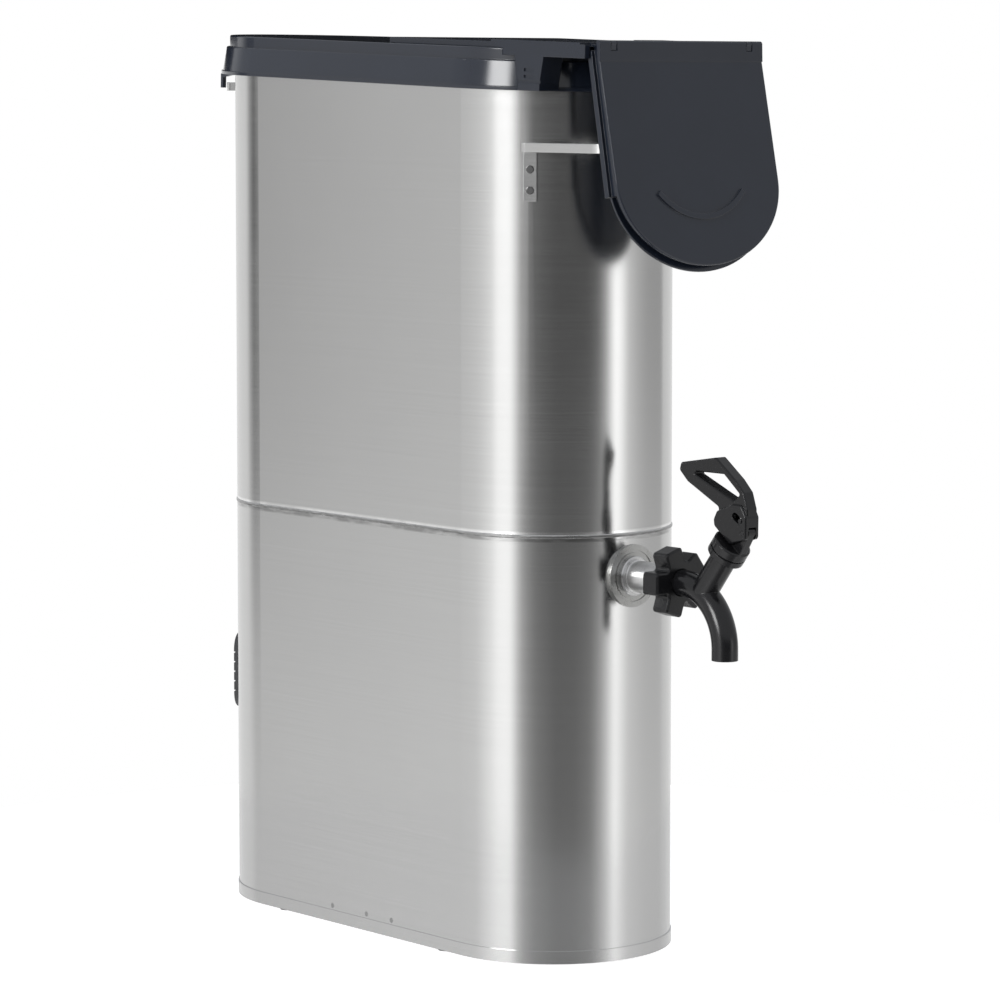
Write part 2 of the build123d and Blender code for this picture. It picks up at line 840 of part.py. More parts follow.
def rail_view(top_width, foot_width):
    """A rail seen from the side, measured forward from its rear edge."""
    top = -flap_face_drop - flap_rail_top_depth
    foot = -flap_face_drop - flap_rail_foot_depth
    corners = [
        (top, -flap_rail_start),
        (top + top_width, -flap_rail_start),
        (foot + foot_width, -flap_rail_end),
        (foot, -flap_rail_end),
    ]
    Polygon(*corners, align=None)


def make_flap_rim(back):
    """A rim behind the rounded end, with a lip turned out and down at its rear edge."""
    start = flap_rail_end + flap_gap
    with BuildPart() as rim:
        with BuildSketch(back):
            flap_outline(flap_rim_inset, flap_root)
            flap_outline_cut(flap_rim_inset + flap_rim_wall, start)
        extrude(amount=-flap_rim_depth)
        with BuildSketch(back.offset(flap_rim_lip - flap_rim_depth)):
            flap_outline(flap_rim_lip_inset, flap_root, flap_rim_lip_drop)
            flap_outline_cut(flap_rim_inset + flap_rim_wall, start)
        extrude(amount=-flap_rim_lip)
    return rim.part


def flap_outline_cut(inset, start):
    """Clears a rim's inside, and everything above its start."""
    with Locations((0, -flap_straight)):
        Ellipse(flap_width / 2 - inset, flap_round - inset, mode=Mode.SUBTRACT)
    with Locations((0, -start / 2)):
        Rectangle(2 * flap_width, start, mode=Mode.SUBTRACT)


def make_boss():
    """The raised ring that carries the faucet, fitted to the curved nose."""
    with BuildPart() as boss:
        with BuildSketch(front_plane(nose_y - boss_proud)):
            Circle(boss_radius)
        extrude(amount=-boss_radius / 2)
        with BuildSketch(front_plane(nose_y - boss_proud)):
            Circle(boss_radius * 0.82)
            Circle(boss_radius * 0.74, mode=Mode.SUBTRACT)
        extrude(amount=-boss_proud / 2, mode=Mode.SUBTRACT)
        with BuildSketch(front_plane(nose_y - boss_proud)):
            Circle(shank_radius + nest_gap)
        extrude(amount=-boss_radius / 2, mode=Mode.SUBTRACT)
        with BuildSketch(Plane.XY.offset(faucet_z - 2 * boss_radius)):
            oval(body_radius)
        extrude(amount=4 * boss_radius, mode=Mode.SUBTRACT)
    save(boss.part, "faucet_boss")


washer_back_y = nose_y - boss_proud
washer_front_y = washer_back_y - washer_thickness


def make_washer():
    with BuildPart() as washer:
        with BuildSketch(front_plane(washer_back_y)):
            Circle(washer_radius)
            Circle(shank_radius + nest_gap, mode=Mode.SUBTRACT)
        extrude(amount=washer_thickness)
        chamfer(washer.edges().sort_by(Axis.Y)[0:1], washer_thickness / 4)
    save(washer.part, "outer_washer")


def make_shank():
    """The threaded tube through both walls, with a collar and a sleeve outside."""
    inside_y = nose_y + shank_inside
    with BuildPart() as shank:
        with BuildSketch(front_plane(inside_y)):
            Circle(shank_radius)
        extrude(amount=inside_y - shank_end_y)
        with BuildSketch(front_plane(washer_front_y)):
            Circle(collar_radius)
        extrude(amount=collar_thickness)
        with BuildSketch(front_plane(washer_front_y)):
            Circle(sleeve_radius)
        extrude(amount=washer_front_y - nut_rear_y - nut_gap)
        with BuildSketch(front_plane(inside_y)):
            Circle(shank_bore)
        extrude(amount=inside_y - shank_end_y, mode=Mode.SUBTRACT)
    save(shank.part, "shank")


gasket_end_y = nose_y + sheet + nest_gap + sheet + gasket_thickness


def make_gasket():
    with BuildPart() as gasket:
        with BuildSketch(front_plane(gasket_end_y)):
            Circle(gasket_radius)
            Circle(shank_radius + nest_gap, mode=Mode.SUBTRACT)
        extrude(amount=2 * gasket_thickness)
        with BuildSketch(Plane.XY.offset(faucet_z - 2 * gasket_radius)):
            oval(tank_inner)
        extrude(amount=4 * gasket_radius, mode=Mode.INTERSECT)
    save(gasket.part, "inner_gasket")


def make_shank_nut():
    with BuildPart() as nut:
        with BuildSketch(front_plane(gasket_end_y)):
            RegularPolygon(shank_nut_radius, 6)
            Circle(shank_radius + thread_gap, mode=Mode.SUBTRACT)
        extrude(amount=-shank_nut_height)
    save(nut.part, "shank_nut")


def make_wing_nut():
    """A winged nut that holds the faucet's flange against the shank's end."""
    lip_y = shank_end_y - flange_thickness - nut_gap
    with BuildPart() as nut:
        with BuildSketch(front_plane(nut_rear_y)):
            Circle(nut_hub_radius)
            with PolarLocations(nut_wing_reach / 2, nut_wings, start_angle=nut_turn):
                Rectangle(nut_wing_reach, nut_wing_width)
            fillet(vertices(), nut_wing_corner)
        extrude(amount=nut_length)
        chamfer(nut.faces().sort_by(Axis.Y)[0].edges(), nut_wing_corner / 2)
        chamfer(nut.faces().sort_by(Axis.Y)[-1].edges(), nut_wing_corner / 2)
        with BuildSketch(front_plane(nut_rear_y)):
            Circle(shank_radius + nut_gap)
        extrude(amount=nut_length, mode=Mode.SUBTRACT)
        with BuildSketch(front_plane(shank_end_y + nut_gap)):
            Circle(flange_radius + nut_gap)
        extrude(amount=shank_end_y + nut_gap - lip_y, mode=Mode.SUBTRACT)
        with BuildSketch(front_plane(lip_y)):
            Circle(spout_radius + nut_gap)
        extrude(amount=nut_length, mode=Mode.SUBTRACT)
    save(nut.part, "wing_nut")


def spout_path(start_angle):
    """The spout's centreline from an angle into its bend, straight down to the outlet."""
    turn = radians(start_angle)
    centre_z = faucet_z - spout_bend
    half = (turn + radians(90)) / 2
    first = (0, spout_start_y - spout_bend * sin(turn), centre_z + spout_bend * cos(turn))
    middle = (0, spout_start_y - spout_bend * sin(half), centre_z + spout_bend * cos(half))
    last = (0, spout_start_y - spout_bend, centre_z)
    tangent = Vector(0, -cos(turn), -sin(turn))
    with BuildLine() as path:
        ThreePointArc(first, middle, last)
        Line(last, (0, last[1], spout_end_z))
    return path.line, Plane(origin=first, z_dir=tangent)


def make_faucet_body():
    """Tail, flange, spout and valve neck, with its water way through the seat."""
    arc, bend_plane = spout_path(0)
    bore_arc, bore_plane = spout_path(spout_bore_start)
    tail_end_y = shank_end_y + tail_length
    with BuildPart() as body:
        with BuildSketch(front_plane(tail_end_y)):
            Circle(tail_radius)
        extrude(amount=tail_length)
        with BuildSketch(front_plane(shank_end_y)):
            Circle(flange_radius)
        extrude(amount=flange_thickness)
        with BuildSketch(front_plane(shank_end_y)):
            Circle(spout_radius)
        extrude(amount=shank_end_y - spout_start_y)
        with BuildSketch(bend_plane):
            Circle(spout_radius)
        sweep(path=arc)
        with BuildSketch(neck_plane.offset(chamber_floor)):
            Circle(neck_radius)
        extrude(amount=neck_length - chamber_floor)
        with BuildSketch(neck_plane.offset(chamber_floor)):
            Circle(chamber_radius)
        extrude(amount=neck_length - chamber_floor, mode=Mode.SUBTRACT)
        with BuildSketch(bore_plane):
            Circle(spout_bore)
        sweep(path=bore_arc, mode=Mode.SUBTRACT)
        with BuildSketch(Plane.XY.offset(seat_hole_foot_z)):
            with Locations((0, seat_hole_y)):
                Circle(seat_hole_radius)
        extrude(amount=faucet_z - seat_hole_foot_z, mode=Mode.SUBTRACT)
        with BuildSketch(front_plane(tail_end_y)):
            Circle(tail_bore)
        extrude(amount=tail_end_y - tail_bore_end_y, mode=Mode.SUBTRACT)
        with BuildSketch(front_plane(tail_bore_end_y + tail_bore)):
            with Locations((0, feed_rise)):
                Circle(feed_bore)
        extrude(amount=tail_bore_end_y + tail_bore - feed_end_y, mode=Mode.SUBTRACT)
        with BuildSketch(front_plane(shank_end_y + (tail_length + o_ring_section) / 2)):
            Circle(tail_radius)
            Circle(tail_radius - tail_groove, mode=Mode.SUBTRACT)
        extrude(amount=o_ring_section + thread_gap, mode=Mode.SUBTRACT)
    save(body.part, "faucet_body")


def make_tail_ring():
    middle_y = shank_end_y + tail_length / 2
    with BuildPart() as ring:
        with Locations(front_plane(middle_y)):
            Torus(tail_radius - tail_groove + o_ring_section / 2 + thread_gap, o_ring_section / 2)
    save(ring.part, "tail_ring")


def make_bonnet():
    """The cap on the neck, with the ear that carries the lever."""
    top = neck_length + bonnet_top
    foot = neck_length - bonnet_skirt
    ear_foot = fulcrum_height - top + bonnet_top / 2
    with BuildPart() as bonnet:
        with BuildSketch(neck_plane.offset(foot)):
            Circle(bonnet_radius)
        extrude(amount=top - foot)
        chamfer(bonnet.edges().sort_by(Axis(neck_plane.origin, neck_plane.z_dir))[-1], bonnet_top / 3)
        with BuildSketch(neck_plane.offset(foot + bonnet_skirt / 2)):
            Circle(bonnet_radius)
            Circle(bonnet_radius - bonnet_groove, mode=Mode.SUBTRACT)
        extrude(amount=bonnet_groove, mode=Mode.SUBTRACT)
        with BuildSketch(neck_plane.offset(foot)):
            Circle(neck_radius + thread_gap)
        extrude(amount=bonnet_skirt, mode=Mode.SUBTRACT)
        with BuildSketch(lever_plane):
            Circle(ear_tip_radius)
            front = -bonnet_radius + fulcrum_forward + bonnet_top / 3
            corners = [
                (-ear_tip_radius, 0),
                (front, -ear_foot),
                (ear_tip_radius, -ear_foot),
                (ear_tip_radius, 0),
            ]
            Polygon(*corners, align=None)
            Circle(fulcrum_radius + thread_gap, mode=Mode.SUBTRACT)
        extrude(amount=ear_plate_half, both=True)
        with BuildSketch(neck_plane.offset(foot)):
            Circle(stem_radius + running_gap)
        extrude(amount=2 * top, mode=Mode.SUBTRACT)
    save(bonnet.part, "bonnet")


def make_lever_pin():
    with BuildPart() as pin:
        with BuildSketch(lever_plane):
            Circle(fulcrum_radius)
        extrude(amount=hub_half, both=True)
    save(pin.part, "lever_pin")


def make_stem():
    """The valve's rod with a flattened eye at its top."""
    eye_height = fulcrum_height + stem_pin_rise
    with BuildPart() as stem:
        with BuildSketch(neck_plane.offset(stem_foot)):
            Circle(stem_radius)
        extrude(amount=eye_height - stem_foot)
        with BuildSketch(lever_plane):
            with Locations((fulcrum_forward, stem_pin_rise)):
                Circle(stem_eye_radius)
        extrude(amount=stem_eye_half, both=True)
        with BuildSketch(lever_plane):
            with Locations((fulcrum_forward, stem_pin_rise)):
                Circle(stem_pin_radius + thread_gap)
        extrude(amount=stem_eye_half, both=True, mode=Mode.SUBTRACT)
    save(stem.part, "valve_stem")


def make_stem_pin():
    with BuildPart() as pin:
        with BuildSketch(lever_plane):
            with Locations((fulcrum_forward, stem_pin_rise)):
                Circle(stem_pin_radius)
        extrude(amount=hub_half - flap_gap, both=True)
    save(pin.part, "stem_pin")


def make_seat_cup():
    foot = chamber_floor + cup_seat_gap
    with BuildPart() as cup:
        with BuildSketch(neck_plane.offset(foot)):
            Circle(cup_radius)
        extrude(amount=cup_height)
        chamfer(cup.edges().sort_by(Axis(neck_plane.origin, neck_plane.z_dir))[0], cup_radius / 6)
        with BuildSketch(neck_plane.offset(stem_foot)):
            Circle(stem_radius + thread_gap)
        extrude(amount=cup_height, mode=Mode.SUBTRACT)
    save(cup.part, "seat_cup")


def make_spring():
    """The coil between the cup and the bonnet that holds the valve shut."""
    foot = chamber_floor + cup_seat_gap + cup_height + spring_wire
    rise = neck_length - spring_wire - foot
    with BuildPart() as spring:
        with BuildLine() as coil:
            Helix(pitch=rise / spring_turns, height=rise, radius=spring_radius)
        with BuildSketch(Plane(origin=coil.line @ 0, z_dir=coil.line % 0)):
            Circle(spring_wire / 2)
        sweep(path=coil.line)
    save(neck_plane.offset(foot).location * spring.part, "stem_spring")


lever_shape = [
    (72.6, -3.9),
    (70.6, -8.8),
    (60.4, -9.6),
    (27.0, -2.6),
    (25.6, -11.0),
    (22.6, -14.0),
    (4.4, -14.0),
    (-5.0, -1.2),
    (6.9, 14.2),
    (16.2, 20.3),
    (27.0, 21.6),
    (49.5, 21.0),
]
lever_loop = [(62.6, -2.4), (37.7, 17.1), (18.4, 16.8), (19.6, 10.0)]
lever_hub = [
    (26.6, -5.0),
    (25.6, -11.0),
    (22.6, -14.0),
    (4.4, -14.0),
    (-5.0, -1.2),
    (3.6, 10.2),
    (12.0, 13.5),
    (19.0, 8.0),
]
lever_cavity = [
    (16.4, 8.6),
    (5.0, 8.6),
    (0.9, 3.7),
    (-5.1, 8.6),
    (-16.0, -2.0),
    (-16.0, -26.0),
    (16.4, -26.0),
]


def make_lever():
    """The looped lever: a fork round the ear, slotted for the stem's pin."""
    swing = radians(lever_swing)
    height = stem_pin_rise + stem_lift
    start = (fulcrum_forward, stem_pin_rise + slot_rise)
    end_x = fulcrum_forward * cos(swing) + height * sin(swing)
    end_height = height * cos(swing) - fulcrum_forward * sin(swing) + slot_rise
    with BuildPart() as lever:
        with BuildSketch(lever_plane):
            Polygon(*lever_shape, align=None)
            fillet(vertices(), lever_corner)
            with BuildSketch(lever_plane, mode=Mode.PRIVATE) as loop:
                Polygon(*lever_loop, align=None)
                fillet(loop.vertices(), loop_corner)
            add(loop.sketch_local, mode=Mode.SUBTRACT)
        extrude(amount=lever_half, both=True)
        chamfer(lever.faces().filter_by(Axis.X).edges(), lever_edge)
        with BuildSketch(lever_plane):
            Polygon(*lever_hub, align=None)
            fillet(vertices(), lever_corner)
        extrude(amount=hub_half, both=True)
        hub_faces = lever.faces().sort_by(Axis.X)
        chamfer(hub_faces[0].edges() + hub_faces[-1].edges(), lever_edge)
        with BuildSketch(lever_plane):
            Polygon(*lever_cavity, align=None)
        extrude(amount=cavity_half, both=True, mode=Mode.SUBTRACT)
        with BuildSketch(lever_plane):
            Circle(fulcrum_radius + running_gap)
            with BuildLine():
                Line(start, (end_x, end_height))
            trace(line_width=2 * slot_half)
            with Locations(start, (end_x, end_height)):
                Circle(slot_half)
        extrude(amount=hub_half, both=True, mode=Mode.SUBTRACT)
    save(lever.part, "lever")


if __name__ == "__main__":
    make_tank()
    make_tank_floor()
    make_base_shell()
    make_seam()
    make_base_ring()
    make_feet()
    make_handle(
        "front_handle",
        front_half_span,
        front_bar_y,
        front_band_z,
        front_tab_angle,
        front_foot_z,
        front_rivets,
    )
    make_handle(
        "rear_handle",
        rear_half_span,
        rear_bar_y,
        rear_band_z,
        rear_tab_angle,
        rear_foot_z,
        rear_rivets,
    )
    make_rivets("front_handle_rivets", front_rivets)
    make_rivets("rear_handle_rivets", rear_rivets)
    make_bumper()
    make_bumper_screws()
    make_lid_base()
    make_brew_frame()
    make_hinge_pin()
    make_flap()
    make_boss()
    make_washer()
    make_shank()
    make_gasket()
    make_shank_nut()
    make_wing_nut()
    make_faucet_body()
    make_tail_ring()
    make_bonnet()
    make_lever_pin()
    make_stem()
    make_stem_pin()
    make_seat_cup()
    make_spring()
    make_lever()
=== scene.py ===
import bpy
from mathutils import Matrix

bl_info = {
    "name": "Oval Tea Dispenser",
    "version": (1, 0, 0),
    "blender": (4, 5, 0),
    "location": "3D View > Sidebar > Dispenser",
    "description": "Dresses an oval drinks dispenser: steel shells, moulded lid, lever faucet",
    "category": "Object",
}

from math import pi, radians, sin

import bmesh
import bpy
from bpy.props import FloatProperty, FloatVectorProperty
from bpy.types import Operator, Panel, PropertyGroup

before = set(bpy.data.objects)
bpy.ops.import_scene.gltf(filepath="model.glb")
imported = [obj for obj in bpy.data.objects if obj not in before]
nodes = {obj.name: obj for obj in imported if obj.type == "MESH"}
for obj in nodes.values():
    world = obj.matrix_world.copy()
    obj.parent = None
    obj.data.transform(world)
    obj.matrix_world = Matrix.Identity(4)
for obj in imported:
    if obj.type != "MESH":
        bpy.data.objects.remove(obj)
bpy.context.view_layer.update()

# Sizes of the marks on the steel, in metres
spot_places = [(0.081, y, 0.0125) for y in (0.0293, -0.0087, -0.0361)]
spot_radius = 0.0022
seam_mark_reach = 0.0035
# Painted shade: the steel's colour goes towards black towards the rear, between these two y
# values, by up to the third number
painted_shade_from_y = -0.1
painted_shade_to_y = 0.19
rear_painted_shade = 0.12

# Radii by which edges catch the light as if rounded, in metres
plastic_edge = 0.0008
flap_edge = 0.001
strap_edge = 0.0007

# Colours and levels of the studio
floor_radius = 0.55
floor_white = 0.7
floor_clearness = 0.8
flag_scale = (1.3, 0.36, 1)
flag_place = (0.36, 0.42, 0.8)
flag_turn = (radians(90), 0, radians(-40.5))
ceiling = (0.62, 0.63, 0.65)
softbox_strength = 15.0
softbox_sides = (171, 191)
softbox_heights = (8, 27)


class SteelSettings(PropertyGroup):
    """The look of the brushed shells"""

    colour: FloatVectorProperty(
        name="Colour",
        description="Reflection colour of the steel",
        subtype="COLOR",
        size=3,
        default=(0.63, 0.63, 0.625),
    )
    roughness: FloatProperty(
        name="Roughness",
        description="Blur of the brushed finish",
        subtype="FACTOR",
        default=0.16,
        min=0.0,
        max=1.0,
    )
    brushing: FloatProperty(
        name="Brushing",
        description="Depth of the brushed lines in the bump",
        subtype="FACTOR",
        default=0.05,
        min=0.0,
        max=1.0,
    )


class PlasticSettings(PropertyGroup):
    """The colours of the moulded pieces"""

    lid_colour: FloatVectorProperty(
        name="Lid colour",
        description="Colour of lid, frame and flap",
        subtype="COLOR",
        size=3,
        default=(0.014, 0.0185, 0.030),
    )
    faucet_colour: FloatVectorProperty(
        name="Faucet colour",
        description="Colour of faucet, lever and wing nut",
        subtype="COLOR",
        size=3,
        default=(0.008, 0.008, 0.009),
    )


class StudioSettings(PropertyGroup):
    """The camera in the studio"""

    lens: FloatProperty(
        name="Lens",
        description="Focal length of the camera in mm",
        default=144.0,
        min=20.0,
    )
    heading: FloatProperty(
        name="Heading",
        description="Turn of the camera about the vertical",
        subtype="ANGLE",
        default=radians(40.49),
    )
    pitch: FloatProperty(
        name="Pitch",
        description="Downward tilt of the camera",
        subtype="ANGLE",
        default=radians(4.59),
    )
    place: FloatVectorProperty(
        name="Place",
        description="Position of the camera",
        subtype="TRANSLATION",
        size=3,
        default=(-1.7836, -2.1452, 0.5885),
    )
    shift: FloatProperty(
        name="Shift",
        description="Vertical shift of the camera's frame",
        default=-0.1,
    )


def new_material(name):
    """An empty material, its node tree, its shader and the object's own coordinates."""
    material = bpy.data.materials.new(name)
    material.use_nodes = True
    tree = material.node_tree
    shader = tree.nodes["Principled BSDF"]
    place = tree.nodes.new("ShaderNodeTexCoord").outputs["Object"]
    return material, tree, shader, place


def noise(tree, place, scale, stretch=(1, 1, 1), detail=4.0, roughness=0.6):
    """Noise over the object, stretched by dividing its coordinates."""
    mapping = tree.nodes.new("ShaderNodeMapping")
    mapping.inputs["Scale"].default_value = stretch
    tree.links.new(place, mapping.inputs["Vector"])
    texture = tree.nodes.new("ShaderNodeTexNoise")
    texture.inputs["Scale"].default_value = scale
    texture.inputs["Detail"].default_value = detail
    texture.inputs["Roughness"].default_value = roughness
    tree.links.new(mapping.outputs["Vector"], texture.inputs["Vector"])
    return texture.outputs["Fac"]


def spread(tree, value, low, high, start=0.3, stop=0.7):
    """Maps a texture's middle range on to two values."""
    node = tree.nodes.new("ShaderNodeMapRange")
    node.inputs["From Min"].default_value = start
    node.inputs["From Max"].default_value = stop
    node.inputs["To Min"].default_value = low
    node.inputs["To Max"].default_value = high
    tree.links.new(value, node.inputs["Value"])
    return node.outputs["Result"]


def ramp(tree, value, stops):
    """A colour ramp from (position, colour) pairs."""
    node = tree.nodes.new("ShaderNodeValToRGB")
    while len(node.color_ramp.elements) < len(stops):
        node.color_ramp.elements.new(0.5)
    for element, (position, colour) in zip(node.color_ramp.elements, stops):
        element.position = position
        element.color = (*colour, 1.0)
    tree.links.new(value, node.inputs["Fac"])
    return node.outputs["Color"]


def split(tree, vector):
    """The X, Y and Z of a vector."""
    node = tree.nodes.new("ShaderNodeSeparateXYZ")
    tree.links.new(vector, node.inputs["Vector"])
    return node.outputs


def calc(tree, operation, *values):
    """A math node from sockets and plain numbers."""
    node = tree.nodes.new("ShaderNodeMath")
    node.operation = operation
    for socket, value in zip(node.inputs, values):
        if isinstance(value, (int, float)):
            socket.default_value = value
        else:
            tree.links.new(value, socket)
    return node.outputs["Value"]


def blend(tree, factor, first, second):
    """Mixes two colours, each a socket or a plain colour."""
    node = tree.nodes.new("ShaderNodeMix")
    node.data_type = "RGBA"
    tree.links.new(factor, node.inputs["Factor"])
    for socket, value in ((node.inputs[6], first), (node.inputs[7], second)):
        if isinstance(value, tuple):
            socket.default_value = value
        else:
            tree.links.new(value, socket)
    return node.outputs[2]


def window(tree, value, low, high, edge):
    """1 between two values and 0 outside them, with soft edges."""
    start = spread(tree, value, 0, 1, low - edge, low + edge)
    end = spread(tree, value, 1, 0, high - edge, high + edge)
    return calc(tree, "MULTIPLY", start, end)


def bump(tree, shader, height, strength, distance, edge=0.0):
    """Relief from a texture, over edges that catch the light as if rounded."""
    node = tree.nodes.new("ShaderNodeBump")
    if edge:
        rounding = tree.nodes.new("ShaderNodeBevel")
        rounding.samples = 6
        rounding.inputs["Radius"].default_value = edge
        tree.links.new(rounding.outputs["Normal"], node.inputs["Normal"])
    node.inputs["Strength"].default_value = strength
    node.inputs["Distance"].default_value = distance
    tree.links.new(height, node.inputs["Height"])
    tree.links.new(node.outputs["Normal"], shader.inputs["Normal"])


def shade(colour, factor):
    """A lighter or darker tone of a colour."""
    return tuple(min(1.0, part * factor) for part in colour)


def brushed_steel(name, colour, roughness, brushing, stretch=(5, 5, 2600), edge=0.0):
    """Steel brushed along the lines in which the stretched noise runs, with painted shade that
    darkens it towards the rear.
    """
    material, tree, shader, place = new_material(name)
    shader.inputs["Metallic"].default_value = 1.0
    grain = noise(tree, place, 1.0, stretch, detail=6.0, roughness=0.7)
    cloud = noise(tree, place, 9.0, detail=3.0)
    tone = ramp(tree, grain, [(0.3, shade(colour, 0.96)), (0.7, shade(colour, 1.03))])
    parts = split(tree, place)
    # Painted shade: the colour is darkened towards the rear
    painted_rear_shade = spread(tree, parts["Y"], 0.0, rear_painted_shade, painted_shade_from_y, painted_shade_to_y)
    tree.links.new(blend(tree, painted_rear_shade, tone, (0, 0, 0, 1)), shader.inputs["Base Color"])
    fine = spread(tree, grain, -0.03, 0.03)
    coarse = spread(tree, cloud, roughness - 0.02, roughness + 0.03)
    tree.links.new(calc(tree, "ADD", fine, coarse), shader.inputs["Roughness"])
    bump(tree, shader, grain, brushing, 0.0004, edge)
    return material


def marked_steel(name, colour, roughness, brushing, spots, radius):
    """Brushed steel with small dull spot welds, the same on both sides."""
    material = brushed_steel(name, colour, roughness, brushing)
    tree = material.node_tree
    shader = tree.nodes["Principled BSDF"]
    place = tree.nodes.new("ShaderNodeTexCoord").outputs["Object"]
    both_sides = tree.nodes.new("ShaderNodeVectorMath")
    both_sides.operation = "ABSOLUTE"
    tree.links.new(place, both_sides.inputs[0])
    parts = split(tree, place)
    sides = split(tree, both_sides.outputs["Vector"])
    folded = tree.nodes.new("ShaderNodeCombineXYZ")
    tree.links.new(sides["X"], folded.inputs["X"])
    tree.links.new(parts["Y"], folded.inputs["Y"])
    tree.links.new(parts["Z"], folded.inputs["Z"])
    tone = shader.inputs["Base Color"].links[0].from_socket
    for spot in spots:
        gap = tree.nodes.new("ShaderNodeVectorMath")
        gap.operation = "DISTANCE"
        tree.links.new(folded.outputs["Vector"], gap.inputs[0])
        gap.inputs[1].default_value = spot
        dull = spread(tree, gap.outputs["Value"], 0.75, 0, radius * 0.6, radius)
        tone = blend(tree, dull, tone, (*shade(colour, 0.45), 1))
    tree.links.new(tone, shader.inputs["Base Color"])
    return material


def tint_seam(material, colour, height, reach):
    """A paler band above the seam and blotchy dark ones below it."""
    tree = material.node_tree
    shader = tree.nodes["Principled BSDF"]
    place = tree.nodes.new("ShaderNodeTexCoord").outputs["Object"]
    parts = split(tree, place)
    blotch = noise(tree, place, 45.0, (1, 1, 4), detail=5.0)
    below = window(tree, parts["Z"], height - reach, height, reach * 0.2)
    dark = calc(tree, "MULTIPLY", below, spread(tree, blotch, 0.15, 0.9, 0.38, 0.58))
    above = window(tree, parts["Z"], height, height + reach * 0.8, reach * 0.2)
    pale = calc(tree, "MULTIPLY", above, spread(tree, blotch, 0.5, 1.0, 0.35, 0.6))
    tone = shader.inputs["Base Color"].links[0].from_socket
    tone = blend(tree, dark, tone, (*shade(colour, 0.5), 1))
    tone = blend(tree, pale, tone, (*shade(colour, 1.5), 1))
    tree.links.new(tone, shader.inputs["Base Color"])


def weld_bead(name, colour, middle, width):
    """A ground bead: bright along its upper edge, darker and blotchy along the lower one."""
    material, tree, shader, place = new_material(name)
    shader.inputs["Metallic"].default_value = 1.0
    parts = split(tree, place)
    blotch = noise(tree, place, 120.0, (1, 1, 2.5), detail=4.0)
    shake = spread(tree, blotch, -0.3, 0.3)
    wander = calc(tree, "MULTIPLY_ADD", shake, width, parts["Z"])
    lower = spread(tree, wander, 1, 0, middle + width * 0.05, middle + width * 0.35)
    dull = calc(tree, "MULTIPLY", lower, spread(tree, blotch, 0.35, 1.0))
    tone = blend(tree, dull, (*colour, 1), (*shade(colour, 0.3), 1))
    tree.links.new(tone, shader.inputs["Base Color"])
    tree.links.new(spread(tree, blotch, 0.25, 0.42), shader.inputs["Roughness"])
    bump(tree, shader, blotch, 0.35, 0.0004)
    return material


def moulded_plastic(name, colour, roughness, coat=0.0, shine=0.5, edge=plastic_edge):
    """Moulded plastic with a fine grain and slightly uneven gloss."""
    material, tree, shader, place = new_material(name)
    cloud = noise(tree, place, 14.0, detail=4.0)
    grain = noise(tree, place, 900.0, detail=2.0)
    tone = ramp(tree, cloud, [(0.3, shade(colour, 0.92)), (0.7, shade(colour, 1.1))])
    tree.links.new(tone, shader.inputs["Base Color"])
    blur = spread(tree, cloud, roughness - 0.04, roughness + 0.05)
    tree.links.new(blur, shader.inputs["Roughness"])
    shader.inputs["Specular IOR Level"].default_value = shine
    shader.inputs["Coat Weight"].default_value = coat
    shader.inputs["Coat Roughness"].default_value = 0.12
    bump(tree, shader, grain, 0.05, 0.0003, edge)
    return material


def turned_metal(name, colour, roughness):
    """Bright turned metal with faint tool marks."""
    material, tree, shader, place = new_material(name)
    shader.inputs["Metallic"].default_value = 1.0
    marks = noise(tree, place, 1.0, (300, 2500, 300), detail=3.0)
    tone = ramp(tree, marks, [(0.3, shade(colour, 0.9)), (0.7, shade(colour, 1.06))])
    tree.links.new(tone, shader.inputs["Base Color"])
    blur = spread(tree, marks, roughness - 0.03, roughness + 0.05)
    tree.links.new(blur, shader.inputs["Roughness"])
    bump(tree, shader, marks, 0.08, 0.0002)
    return material


def dress(material, *names):
    """Gives one finish to CAD nodes."""
    for name in names:
        slots = nodes[name].data.materials
        slots.clear()
        slots.append(material)


class DISPENSER_OT_steel(Operator):
    """Finish the steel shells, ring, straps and rivets"""

    bl_idname = "dispenser.steel"
    bl_label = "Steel"

    def execute(self, context):
        steel = context.scene.dispenser_steel
        colour = tuple(steel.colour)
        shell = brushed_steel("shell_steel", colour, steel.roughness, steel.brushing)
        heights = [corner[2] for corner in nodes["weld_seam"].bound_box]
        low, high = min(heights), max(heights)
        middle = (low + high) / 2
        tint_seam(shell, colour, middle, seam_mark_reach)
        dress(shell, "reservoir_shell", "base_ring", "reservoir_floor")
        base = marked_steel(
            "base_steel", colour, steel.roughness, steel.brushing, spot_places, spot_radius
        )
        tint_seam(base, colour, middle, seam_mark_reach)
        dress(base, "base_shell")
        dress(weld_bead("seam_steel", shade(colour, 0.85), middle, high - low), "weld_seam")
        strap = brushed_steel("strap_steel", shade(colour, 1.05), 0.24, 0.03, edge=strap_edge)
        dress(strap, "front_handle", "rear_handle")
        rivet = turned_metal("rivet_steel", (0.16, 0.16, 0.16), 0.35)
        dress(rivet, "front_handle_rivets", "rear_handle_rivets", "bumper_screws")
        return {"FINISHED"}


class DISPENSER_OT_lid(Operator):
    """Finish the lid, the brew-through frame and the flap"""

    bl_idname = "dispenser.lid"
    bl_label = "Lid"

    def execute(self, context):
        colour = tuple(context.scene.dispenser_plastic.lid_colour)
        dress(moulded_plastic("lid_plastic", colour, 0.15, coat=0.3), "lid_base")
        dress(moulded_plastic("frame_plastic", colour, 0.2, coat=0.1), "brew_frame")
        dress(moulded_plastic("flap_plastic", colour, 0.2, edge=flap_edge), "flap")
        dress(turned_metal("pin_steel", (0.5, 0.5, 0.5), 0.25), "hinge_pin")
        return {"FINISHED"}


